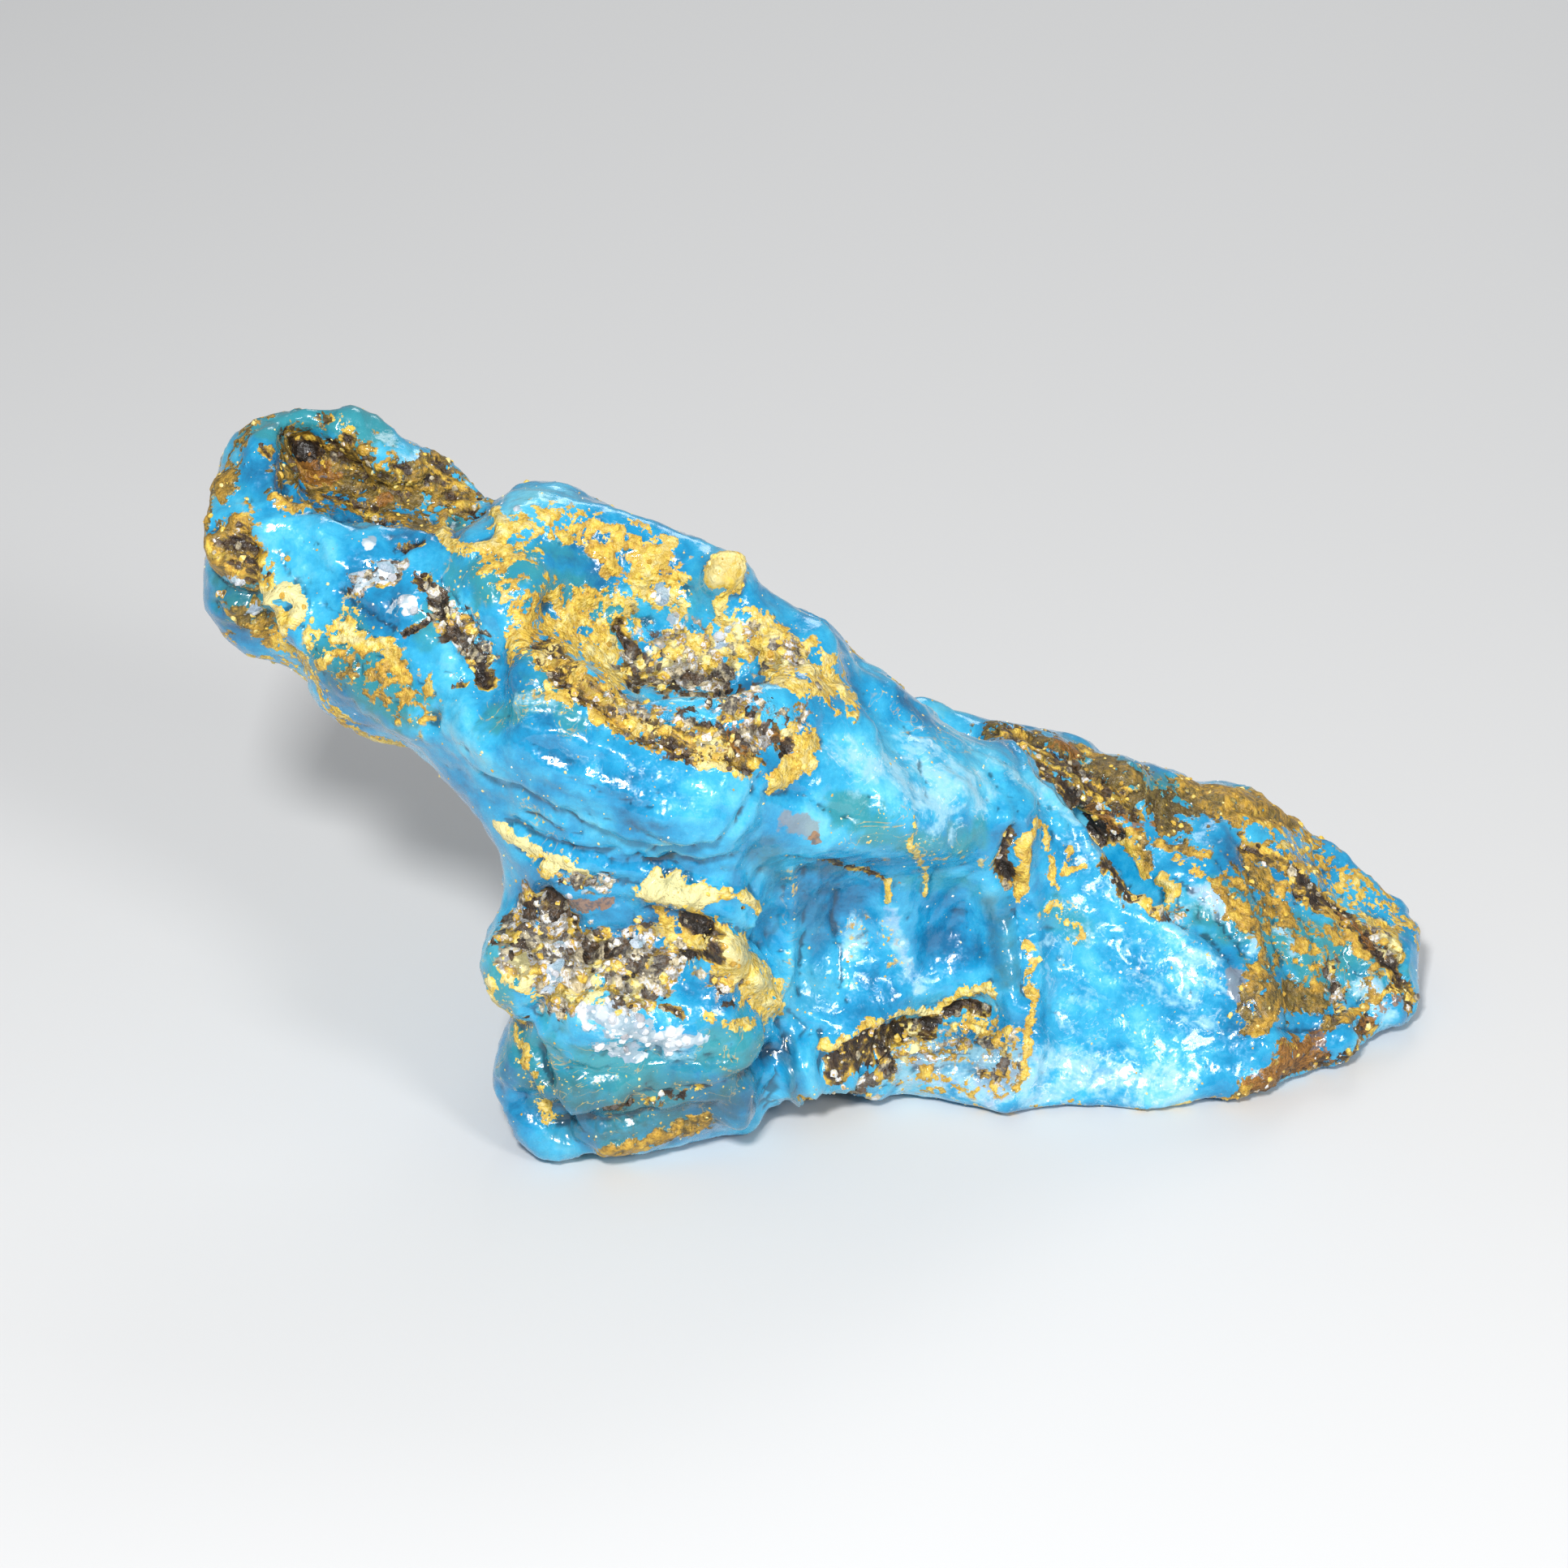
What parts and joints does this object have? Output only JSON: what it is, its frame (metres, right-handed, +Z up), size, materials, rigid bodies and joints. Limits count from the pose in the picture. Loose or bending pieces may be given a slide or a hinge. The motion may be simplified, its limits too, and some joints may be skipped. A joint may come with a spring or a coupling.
{
  "type": "rough blue amber",
  "caption": "Rough opaque blue amber lump with an arm reaching up to a hollow head, a stubby foot, an alcove, a sloping facet and an ochre crust.",
  "frame": {"origin": "middle of the outline at the base, on the plane that the lump rests on", "axes": "+Z up; X along the long side, with the raised arm and hollow head at -X and the low blunt end at +X; -Y is the broad front with the foot, the alcove and the smooth facet"},
  "size_m": [0.083, 0.0341, 0.0433],
  "materials": {
    "amber": "waxy gloss, opaque, with ochre and brown crust"
  },
  "bodies": {
    "root": {"rough_amber": "amber"}
  },
  "joints": []
}
